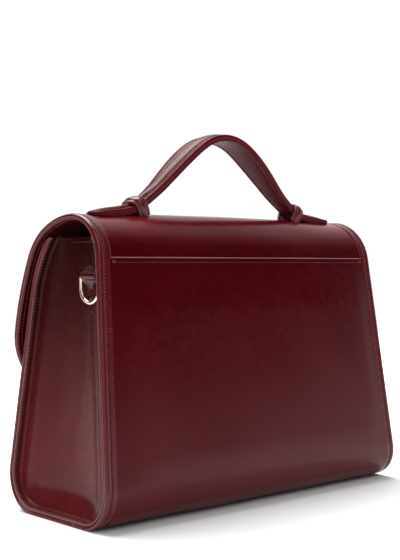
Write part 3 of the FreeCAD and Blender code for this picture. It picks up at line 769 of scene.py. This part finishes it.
def gusset_line(depth):
    """y, z of the gusset's outline at a depth: down the back, along the base and up the front."""
    rear_top = wrap.length_at_height(GUSSET_TOP, depth)
    front_top = tray.length_at_height(GUSSET_TOP, depth)
    stretches = ((wrap, np.linspace(rear_top, CORNER_END, WALL_STEPS + 1)[:-1]),
                 (wrap, np.linspace(CORNER_END, 0.0, CORNER_STEPS + 1)),
                 (tray, np.linspace(0.0, BASE_END, BASE_STEPS + 1)[1:]),
                 (tray, np.linspace(BASE_END, FRONT_WALL_S, CORNER_STEPS + 1)[1:]),
                 (tray, np.linspace(FRONT_WALL_S, front_top, WALL_STEPS + 1)[1:]))
    points = []
    for outline, s in stretches:
        y, z, _ = outline.at(s)
        out_y, out_z = outline.outward(s)
        points.append(np.stack([y - out_y * depth, z - out_z * depth], axis=1))
    return np.concatenate(points)


def gusset_sag(y, z):
    """How far the soft floor of the gusset sinks inwards, away from its seams."""
    rear = 44.5 - 0.13 * z
    front = -43.0 + 0.13 * z
    middle = (rear + front) / 2
    across = (y - middle) / ((rear - front) / 2)
    off_base = smooth(2, 19, z)
    hollow = GUSSET_SAG * np.clip(1 - np.abs(across) ** 3.2, 0, 1) * off_base
    open_floor = np.clip(1 - across ** 2, 0, 1)
    crease = 0.9 * smooth(130, 190, z) * hump(across, -0.1 + 0.12 * (z - 150) / 50, 0.24) * open_floor
    drag = 0.7 * hump(across - (z - 60) / 150, 0.1, 0.22) * smooth(20, 60, z) * (1 - smooth(105, 150, z))
    dent = 1.6 * hump(y, -37, 6) * hump(z, 19, 7)
    ripple = (0.14 * np.sin(y / 9.0 + z / 26.0) + 0.12 * np.sin(z / 17.0 - y / 13.0)) * open_floor * off_base
    return hollow + crease + drag * open_floor + dent + ripple


def gusset_sheet(skip=0):
    """The outside face of the right gusset: turned-out rim, soft fillet and sagging floor."""
    flat_end = GUSSET_RECESS - GUSSET_FILLET
    profile = [(q, FLANGE_END) for q in np.linspace(GUSSET_EDGE + 0.25, flat_end, 4)]
    profile += [(flat_end + GUSSET_FILLET * math.sin(a), FLANGE_END + GUSSET_FILLET * (1 - math.cos(a)))
                for a in np.linspace(0, math.pi / 2, 10)[1:]]
    columns = []
    for q, depth in profile[skip:]:
        line = gusset_line(depth)
        y, z = line.T
        columns.append(from_edge(y, z, q + gusset_sag(y, z) * smooth(flat_end, GUSSET_RECESS, q)))
    rim = np.stack(columns, axis=1)
    share = np.linspace(0, 1, BASE_STEPS + 1)[:, None]
    floor = [rear * (1 - share) + front * share
             for rear, front in zip(line[:SIDE_STEPS], line[::-1][:SIDE_STEPS])]
    y, z = np.moveaxis(np.array(floor + [line[SIDE_STEPS:SIDE_STEPS + BASE_STEPS + 1]]), -1, 0)
    floor = from_edge(y, z, GUSSET_RECESS + gusset_sag(y, z))
    return weld_shape(merged([(part.reshape(-1, 3), quads(*part.shape[:2])) for part in (rim, floor)]))


def weld_shape(shape, distance=0.02):
    """Joins points that coincide, and drops the faces that this flattens."""
    verts, faces = shape
    keys = np.round(np.asarray(verts) / distance).astype(int)
    first = {}
    renamed = []
    kept = []
    for index, key in enumerate(map(tuple, keys)):
        if key not in first:
            first[key] = len(kept)
            kept.append(verts[index])
        renamed.append(first[key])
    polygons = [tuple(renamed[i] for i in face) for face in faces]
    return np.array(kept), [p for p in polygons if len(set(p)) == len(p)]


GUSSET_STITCH_INSET = 2.9
# The painted rim: inset from the bag's edge, and share of the way through the flange.
GUSSET_BEAD = [(2.2, 0.0), (0.9, -0.02), (0.6, 0.08), (0.5, 0.3), (0.5, 0.7), (0.62, 0.96), (0.95, 1.06),
               (1.3, 1.04), (2.2, 1.01)]


def make_gussets():
    skin = thicken(*gusset_sheet(), 0.0, 1.6)
    lining = thicken(*gusset_sheet(skip=6), 1.7, 2.7)
    outer, inner = gusset_line(FLANGE_START), gusset_line(FLANGE_END)
    edge = tube(np.stack([from_edge(*(outer * (1 - share) + inner * share).T, q) for q, share in GUSSET_BEAD],
                         axis=1))
    rim, deeper = (from_edge(*gusset_line(depth).T, GUSSET_STITCH_INSET)
                   for depth in (FLANGE_END + 0.02, FLANGE_END + 1.02))
    top_y = np.linspace(-11.0, 17.0, 24)
    top_z = np.full_like(top_y, GUSSET_TOP - 3.2)
    top_line = from_edge(top_y, top_z, GUSSET_RECESS + gusset_sag(top_y, top_z) - 0.05)
    top_threads = stitch_row(top_line, np.tile([1.0, 0.0, SIDE_LEAN], (len(top_y), 1)))
    threads = merged([stitch_row(rim, deeper - rim), top_threads])
    add_sides(("gusset_leather_{}", skin, wine_gusset, "gusset_leather", "gusset_{}"),
              ("gusset_suede_{}", lining, lining_suede, "lining_leather", "gusset_lining_{}"),
              ("gusset_painted_edge_{}", edge, edge_paint, "gusset_leather"),
              ("gusset_stitching_{}", threads, thread, "trim_leather"),
              # painted needle-hole shade along the gusset seam
              ("gusset_needle_holes_{}", needle_holes(rim, deeper - rim), hole_shade_colour, "trim_leather"))


# ---- D-rings and their tabs ----
def make_rings():
    low, high = node_box("d_ring_right")
    middle = (low + high) / 2
    top = high[2] - RING_WIRE
    half = (high[1] - low[1]) / 2 - RING_WIRE
    bend = 2.4
    corner = [(half - bend + bend * math.sin(a), top - bend + bend * math.cos(a))
              for a in np.linspace(0, math.pi / 2, 7)]
    bow = [(half * math.cos(a), low[2] + RING_WIRE + half - half * math.sin(a))
           for a in np.linspace(0, math.pi, 41)]
    bar = [(y, top) for y in np.linspace(bend - half, half - bend, 7)[1:-1]]
    loop = np.array(corner + bow + [(-y, z) for y, z in corner[::-1]] + bar)
    ahead = unit(np.roll(loop, -1, axis=0) - np.roll(loop, 1, axis=0))
    outward = np.stack([-ahead[:, 1], ahead[:, 0]], axis=1)
    rings = []
    for a in np.linspace(0, 2 * math.pi, 17)[:-1]:
        y, z = (loop + outward * RING_WIRE * math.cos(a)).T
        rings.append(np.stack([middle[0] + RING_WIRE * math.sin(a) + 0 * y, middle[1] + y, z], axis=1))
    shape = tube(np.stack(rings, axis=1), looped=True)
    add_sides(("d_ring_metal_{}", shape, pale_gold, "pale_gold", "d_ring_{}"), body="ring_{}")


# Round a leather strip: share of the half width and of the half thickness.
STRIP_SECTION = ((-1, 0.35), (-1, 1), (-0.5, 1), (0, 1), (0.5, 1), (1, 1), (1, 0.35), (1, -0.35),
                 (1, -1), (0.5, -1), (0, -1), (-0.5, -1), (-1, -1), (-1, -0.35))
STRIP_EDGE = 0.45


def strip(path, widths, thickness, middle_y, place):
    """A leather strip through (out, up) points, with rounded edges; place turns it to x, y, z."""
    normal = beside(path)
    rings = []
    for across, lift in STRIP_SECTION:
        pull = STRIP_EDGE if abs(across) == 1 and abs(lift) == 1 else 0.0
        rings.append(place(path + normal * thickness / 2 * lift, middle_y + across * (widths / 2 - pull)))
    return tube(np.stack(rings, axis=1))


def make_tabs():
    """A strip folded round the ring's bar, with a sewn foot, and a bar tack on the gusset under it."""
    low, high = node_box("d_ring_tab_right")
    ring_low, ring_high = node_box("d_ring_right")
    middle_y = (low[1] + high[1]) / 2
    side_angle = math.atan(SIDE_LEAN)
    outward = np.array([math.cos(side_angle), math.sin(side_angle)])
    upward = np.array([-math.sin(side_angle), math.cos(side_angle)])
    bar = np.array([(ring_low[0] + ring_high[0]) / 2, ring_high[2] - RING_WIRE])
    base = bar - outward * RING_STAND_OFF

    def place(flat, y):
        x, z = (base + flat[:, :1] * outward + flat[:, 1:] * upward).T
        return np.stack([x, y, z], axis=1)

    fold_radius = 2.35
    path = [(0.9, 8.0), (1.7, 7.8), (3.2, 6.7), (4.7, 5.0)]
    path += [(RING_STAND_OFF + fold_radius * math.cos(a), fold_radius * math.sin(a))
             for a in np.radians(np.linspace(78, -78, 13))]
    path += [(4.1, -4.6), (2.9, -6.4), (2.3, -7.6)]
    path += [(2.15, z) for z in np.linspace(-8.4, -17.4, 7)] + [(2.0, -18.0)]
    count = len(path)
    path = relaxed(interpolated(np.linspace(0, count - 1, 70), np.arange(count), np.array(path)), 2)
    widths = 12.4 + 4.0 * smooth(-8.2, -6.2, path[:, 1]) - 1.2 * smooth(17.0, 18.2, -path[:, 1])
    back_path = np.stack([np.full(12, 0.75), np.linspace(7.7, -18.0, 12)], axis=1)
    back_widths = 12.2 + 4.0 * smooth(-8.0, -6.0, back_path[:, 1])
    shape = merged([strip(path, widths, 1.3, middle_y, place),
                    strip(back_path, back_widths, 1.2, middle_y, place)])

    def tab_row(ys, ups):
        ys, ups = np.broadcast_arrays(np.asarray(ys, float), ups)
        points = place(np.stack([np.full(ys.shape, 2.85), ups], axis=1), middle_y + ys)
        return stitch_row(points, np.tile([outward[0], 0.0, outward[1]], (len(points), 1)), 2.1, 0.3)

    foot_top, foot_end, foot_side = -8.9, -16.6, 4.6
    rows = [tab_row(np.linspace(-foot_side, foot_side, 8), z) for z in (foot_top, foot_end)]
    rows += [tab_row(y, np.linspace(foot_top, foot_end, 8)) for y in (-foot_side, foot_side)]
    tack_up = np.linspace(-26.2, -21.6, 6)
    _, y, z = place(np.stack([0 * tack_up, tack_up], axis=1), 0 * tack_up + middle_y).T
    tack = from_edge(y, z, GUSSET_RECESS + gusset_sag(y, z) - 0.2)
    rows.append(stitch_row(tack, np.tile([1.0, 0.0, 0.06], (6, 1)), pitch=5.0, radius=0.5, slant=0.0))
    add_sides(("d_ring_tab_leather_{}", shape, wine_tab_painted_shade, "trim_leather", "d_ring_tab_{}"),
              ("d_ring_tab_stitching_{}", merged(rows), thread, "trim_leather"))


# ---- handle ----
STRAP_LINE = [(END_TIP_X, 210.8), (117.0, 211.3), (111.0, 211.6), (105.0, 211.9), (100.0, 212.3),
              (95.0, 213.0), (88.0, 214.6), (84.0, 215.9), (79.5, 218.4), (75.4, 221.2), (72.0, 223.7),
              (66.0, 228.2), (60.0, 233.3), (52.0, 240.9), (42.0, 250.1), (31.0, 259.3), (20.0, 266.7),
              (10.0, 270.6), (0.0, 271.9)]
TIP_START_X = 98.0          # the strap's ends thin out from here


def strap_curve(count=181):
    """x, z of the strap's middle line from the right tip to the left, as a smooth curve."""
    half = np.array(STRAP_LINE)
    points = np.concatenate([half, half[-2::-1] * np.array([-1.0, 1.0])])
    # Catmull-Rom through the points
    padded = np.concatenate([2 * points[:1] - points[1:2], points, 2 * points[-1:] - points[-2:-1]])
    curve = []
    for i in range(len(points) - 1):
        p0, p1, p2, p3 = padded[i:i + 4]
        for t in np.linspace(0, 1, 24, endpoint=False):
            curve.append(0.5 * (2 * p1 + (p2 - p0) * t + (2 * p0 - 5 * p1 + 4 * p2 - p3) * t ** 2
                                + (3 * p1 - p0 - 3 * p2 + p3) * t ** 3))
    curve = np.array(curve + [points[-1]])
    lengths = walked(curve)
    return relaxed(interpolated(np.linspace(0, lengths[-1], count), lengths, curve), 3)


def strap_half_width(x):
    """Half width of the strap along its length, rounded at the tips."""
    reach = np.abs(x)
    taper = smooth(GRIP_HALF_LENGTH, TAPER_END_X + 13, reach)
    width = GRIP_HALF_WIDTH + (FOOT_HALF_WIDTH - GRIP_HALF_WIDTH) * taper
    tip = np.clip((END_TIP_X - reach) / FOOT_HALF_WIDTH, 0.0, 1.0)
    return width * np.sqrt(np.clip(1 - (1 - tip) ** 2, 0.015, 1.0))


def off_strap(curve, offset, height):
    """Points beside the strap's middle line, at a height over it."""
    x, z = (curve + beside(curve) * height[:, None]).T
    return np.stack([x, HANDLE_Y + offset, z], axis=1)


def edge_inset(widths, inset):
    """Insets from the strap's edge shrink where it narrows, and never pass its middle."""
    scaled = inset * (0.4 + 0.6 * widths / GRIP_HALF_WIDTH)
    return np.maximum(widths - scaled, 0.1 * widths)


def strap_shape(edge, crown, curve, widths, thin):
    """A strap layer: an edge profile of (inset, height) on both sides, and a crown between them."""
    last_inset, last_height = edge[-1]
    rise = crown * (1.0 + 1.3 * smooth(TAPER_END_X - 6, TAPER_END_X + 12, np.abs(curve[:, 0])))
    columns = [(edge_inset(widths, inset), height) for inset, height in edge]
    columns += [(edge_inset(widths, last_inset) * share, last_height + rise * (1 - abs(share) ** 2.4))
                for share in (0.9, 0.72, 0.5, 0.25, 0.0, -0.25, -0.5, -0.72, -0.9) if crown]
    columns += [(-edge_inset(widths, inset), height) for inset, height in edge[::-1]]
    return tube(np.stack([off_strap(curve, offset, height * thin) for offset, height in columns], axis=1))


# Strap edges as (inset, height); the upper leather has a bead, a stitch groove and a second bead.
UPPER_EDGE = [(2.2, -0.8), (0.4, -0.78), (0.06, -0.3), (0.0, 0.6), (0.08, 1.35), (0.4, 1.95), (0.95, 2.3),
              (1.7, 2.36), (2.25, 2.1), (2.6, 1.6), (2.9, 1.46), (3.3, 1.5), (3.6, 1.9), (4.0, 2.2),
              (4.6, 2.28), (5.1, 2.05), (5.4, 1.95), (5.7, 2.2), (6.1, 2.6)]
UNDER_EDGE = [(0.5, -0.86), (0.2, -1.1), (0.1, -1.6), (0.18, -2.15), (0.5, -2.5), (1.3, -2.62),
              (2.4, -2.5), (3.0, -2.3), (3.6, -2.5), (4.4, -2.6)]
STRAP_SEAMS = ((1.62, 3.05), (-2.32, 3.0))      # height and inset


def make_handle():
    curve = strap_curve()
    reach = np.abs(curve[:, 0])
    widths = strap_half_width(reach)
    thin = 1.05 - 0.65 * np.clip((reach - TIP_START_X) / (END_TIP_X - TIP_START_X), 0, 1) ** 1.8
    up = beside(curve)
    inside = reach < END_TIP_X - 5
    rows, holes = [], []
    for height, inset in STRAP_SEAMS:
        for side in (-1, 1):
            points = off_strap(curve, side * edge_inset(widths, inset), height * thin)[inside]
            facing = (np.stack([up[:, 0], 0 * reach, up[:, 1]], axis=1) * math.copysign(1, height))[inside]
            rows.append(stitch_row(points, facing, radius=0.3))
            # painted needle-hole shade beside each handle thread
            holes.append(needle_holes(points - facing * 0.12, facing, radius=0.6))
    strap = strap_shape(UPPER_EDGE, STRAP_CROWN, curve, widths, thin)
    upper = add("handle_strap_leather", strap, wine_handle, "handle_leather", "handle_cover", "handle_core",
                "handle_end_left", "handle_end_right", body=HANDLE_FOOT)
    add("handle_under_leather", strap_shape(UNDER_EDGE, 0.0, curve, widths, thin), wine_under,
        "handle_leather", "handle_lining", body=HANDLE_FOOT)
    add("handle_stitching", merged(rows), thread, "handle_leather", body=HANDLE_FOOT)
    add("handle_needle_holes", merged(holes), hole_shade_colour, "handle_leather", body=HANDLE_FOOT)


# The keeper's section along the strap: (distance along it, height), two rims and a crown.
KEEPER_PROFILE = [(-4.1, -0.6), (-4.4, 0.0), (-4.4, 0.8), (-4.1, 1.3), (-3.6, 1.45), (-3.1, 1.2),
                  (-2.8, 1.05), (-2.4, 1.35), (-1.6, 1.85), (-0.5, 2.1), (0.6, 2.1), (1.6, 1.85),
                  (2.4, 1.35), (2.8, 1.05), (3.1, 1.2), (3.6, 1.45), (4.1, 1.3), (4.4, 0.8), (4.4, 0.0),
                  (4.1, -0.6), (0.0, -0.7)]
KEEPER_RIM = [(4.2, -0.75), (4.65, -0.6), (4.78, 0.1), (4.65, 0.95), (4.2, 1.15)]


def make_keepers():
    """Two soft leather loops round the strap, tilted with it, with grey painted rims."""
    middle = np.array([81.5, 217.1])
    slope = math.radians(27.0)
    along = np.array([math.cos(slope), -math.sin(slope)])
    lift = np.array([math.sin(slope), math.cos(slope)])
    half_y, top = 8.4, 5.5
    path = [(6.9, -8.0), (7.4, -6.2), (7.95, -4.3), (8.3, -2.4)]
    path += [(half_y * math.cos(a) ** 0.62, -0.6 + (top + 0.6) * math.sin(a) ** 0.8)
             for a in np.linspace(0, math.pi / 2, 13)[:-1]]
    path = np.array(path + [(0.0, top)] + [(-y, n) for y, n in path[::-1]])
    out = beside(path)

    def placed(ring, q):
        """A ring of (across, up) points at a distance along the strap, in x, y, z."""
        flat = middle + q * along + ring[:, 1:] * lift
        return np.stack([flat[:, 0], HANDLE_Y + ring[:, 0], flat[:, 1]], axis=1)

    def band(profile):
        return tube(np.stack([placed(path + out * h, q) for q, h in profile], axis=1))

    block = np.array([(-6.7, -8.0), (-7.0, -7.6), (-7.0, -3.2), (-6.7, -2.8),
                      (6.7, -2.8), (7.0, -3.2), (7.0, -7.6), (6.7, -8.0)])
    anchor = tube(np.array([placed(block * [shrink, 1.0], q)
                            for q, shrink in ((-3.9, 0.93), (-3.5, 1.0), (3.5, 1.0), (3.9, 0.93))]))
    rims = merged([band([(end * q, h) for q, h in KEEPER_RIM]) for end in (-1, 1)])
    add_sides(("keeper_leather_{}", band(KEEPER_PROFILE), wine_trim, "handle_leather", "keeper_{}"),
              ("keeper_painted_rims_{}", rims, edge_paint, "handle_leather"),
              ("keeper_anchor_{}", anchor, wine_under, "handle_leather"), body="flap")


# ---- closure and inside ----
def lathe(profile, middle, steps=48):
    """A turned solid about an axis along Y; the profile is (radius, y)."""
    angles = np.linspace(0, 2 * math.pi, steps, endpoint=False)
    return tube(np.stack([np.stack([middle[0] + r * np.cos(angles), np.full_like(angles, y),
                                    middle[2] + r * np.sin(angles)], axis=1) for r, y in profile]))


def make_snap():
    low, high = node_box("snap_stud")
    centre = (low + high) / 2
    radius = (high[0] - low[0]) / 2
    back = low[1] - 2.0
    plate = low[1] + 2.4
    stud = [(0.01, back), (radius - 0.5, back), (radius, back + 0.6), (radius, plate - 0.7),
            (radius - 0.7, plate), (4.4, plate + 0.05), (3.9, plate - 0.25), (3.2, plate - 0.25),
            (3.0, plate + 0.2), (3.0, high[1] - 0.5), (2.5, high[1]), (0.01, high[1])]
    add("snap_stud_metal", lathe(stud, centre), pale_gold, "pale_gold", "snap_stud", body="flap")
    low, high = node_box("snap_socket")
    face = low[1]
    socket = [(0.01, face + 2.2), (4.3, face + 2.2), (4.8, face + 1.8), (4.8, face + 0.4), (5.2, face),
              (radius - 0.8, face + 0.1), (radius, face + 0.9), (radius, high[1]), (0.01, high[1])]
    add("snap_socket_metal", lathe(socket, centre), pale_gold, "pale_gold", "snap_socket")


def make_inner_pocket():
    low, high = node_box("inner_slip_pocket")
    first = wrap.length_at_height(low[2])
    last = wrap.length_at_height(high[2])
    s = np.linspace(first, last, 40)[:, None]
    x = np.linspace(low[0], high[0], 41)

    def hung(x, s, depth):
        gape = 2.2 * smooth(last - 60, last, s) * (1 - (x / high[0]) ** 2)
        return wrap.place(x, s, LINING_END + 0.1 + depth + gape)

    add("inner_pocket_suede", slab(hung(x, s, 0.9), hung(x, s, 0.0)), lining_suede, "lining_leather",
        "inner_slip_pocket")
    inset = 3.0
    row_x = np.linspace(low[0] + inset, high[0] - inset, 80)
    row_s = np.linspace(first + inset, last - inset, 50)
    lines = [(row_x, last - inset), (row_x, first + inset), (low[0] + inset, row_s), (high[0] - inset, row_s)]
    rows = [stitch_row(*seam(hung, x, s, 0.92, 1.0)) for x, s in lines]
    add("inner_pocket_stitching", merged(rows), thread, "lining_leather")


for make in (make_wrap, make_tray, make_lining, make_boards, make_back_pocket, make_gussets, make_rings,
             make_tabs, make_handle, make_keepers, make_snap, make_inner_pocket):
    make()

for washer in ("snap_socket_washer", "snap_stud_washer"):
    frame["nodes"][washer].data.materials.clear()
    frame["nodes"][washer].data.materials.append(steel)


# ---- studio ----
WORLD_WHITE = 1.05
CEILING = 0.35
DARK = 0.0
FLOOR_HALF_SIZE = 1.6


def make_camera():
    """Rear three-quarter view from the height of the bag's top."""
    azimuth, pitch = math.radians(137.91), math.radians(-0.82)
    camera = bpy.data.cameras.new("camera")
    camera.lens = 70.71
    camera.sensor_width = 36.0
    eye = shown("camera", camera)
    eye.location = (0.5774, 0.6234, 0.1758)
    eye.rotation_euler = (math.pi / 2 + pitch, 0.0, azimuth)
    bpy.context.scene.camera = eye


def make_floor():
    mesh = bpy.data.meshes.new("floor")
    corners = [(x * FLOOR_HALF_SIZE, y * FLOOR_HALF_SIZE, 0) for x, y in ((-1, -1), (1, -1), (1, 1), (-1, 1))]
    mesh.from_pydata(corners, [], [(0, 1, 2, 3)])
    material, tree, shader, coordinates = new_material("pale_floor")
    fill(tree, shader, Base_Color=mixed(tree, noise(tree, coordinates, 3.0), 0.79, 0.81), Roughness=0.9,
         Specular_IOR_Level=0.1)
    mesh.materials.append(material)
    shown("floor", mesh)


def make_world():
    """A white studio: dark flags beside the camera and front right, and a plain white backdrop."""
    world = bpy.data.worlds.new("studio")
    bpy.context.scene.world = world
    world.use_nodes = True
    tree = world.node_tree

    def maths(kind, operation, first, second=None):
        step = tree.nodes.new(kind)
        step.operation = operation
        tree.links.new(first, step.inputs[0])
        if isinstance(second, tuple):
            step.inputs[1].default_value = second
        elif second is not None:
            tree.links.new(second, step.inputs[1])
        return step.outputs

    direction = tree.nodes.new("ShaderNodeTexCoord").outputs["Generated"]
    height = fill(tree, tree.nodes.new("ShaderNodeSeparateXYZ"), Vector=direction).outputs["Z"]
    level = maths("ShaderNodeVectorMath", "MULTIPLY", direction, (1.0, 1.0, 0.0))["Vector"]
    bearing = maths("ShaderNodeVectorMath", "NORMALIZE", level)["Vector"]

    def sector(azimuth, full, fade):
        """1 within `full` degrees of an azimuth from +X, 0 beyond `fade` degrees."""
        a = math.radians(azimuth)
        middle = (math.cos(a), math.sin(a), 0.0)
        facing = maths("ShaderNodeVectorMath", "DOT_PRODUCT", bearing, middle)["Value"]
        return mapped(tree, facing, 0.0, 1.0, math.cos(math.radians(fade)), math.cos(math.radians(full)))

    sky = mixed(tree, mapped(tree, height, 0.0, 1.0, 0.20, 0.42), WORLD_WHITE, CEILING)
    sky = mixed(tree, sector(238.0, 48.0, 78.0), sky, WORLD_WHITE)
    for azimuth, full, fade, low, high in ((115.0, 29.0, 47.0, 0.03, 0.10), (315.0, 45.0, 62.0, -0.10, 0.03)):
        above = mapped(tree, height, 0.0, 1.0, low, high)
        flag = maths("ShaderNodeMath", "MULTIPLY", sector(azimuth, full, fade), above)["Value"]
        sky = mixed(tree, flag, sky, DARK)
    seen = tree.nodes.new("ShaderNodeLightPath").outputs["Is Camera Ray"]
    fill(tree, tree.nodes["Background"], Color=mixed(tree, seen, sky, WORLD_WHITE))


def low_bounce(location, target, size, power):
    """A soft light low beside the gusset, as from a white card on the table."""
    data = bpy.data.lights.new("low_bounce", "AREA")
    data.size = size
    data.energy = power
    lamp = shown("low_bounce", data)
    lamp.location = location
    lamp.rotation_euler = (Vector(target) - Vector(location)).to_track_quat("-Z", "Y").to_euler()
    lamp.visible_camera = False
    lamp.visible_glossy = False


def sun_light(name, azimuth, elevation, spread, strength):
    data = bpy.data.lights.new(name, "SUN")
    data.energy = strength
    data.angle = math.radians(spread)
    shown(name, data).rotation_euler = (math.radians(90 - elevation), 0.0, math.radians(azimuth + 90))


make_camera()
make_floor()
make_world()
sun_light("overhead_softbox", 272.0, 66.0, 50.0, 5.4)
sun_light("fill", 80.0, 50.0, 50.0, 1.0)
low_bounce((0.34, -0.03, 0.015), (0.14, 0.0, 0.06), 0.18, 0.38)
bpy.context.scene.view_settings.view_transform = "Standard"
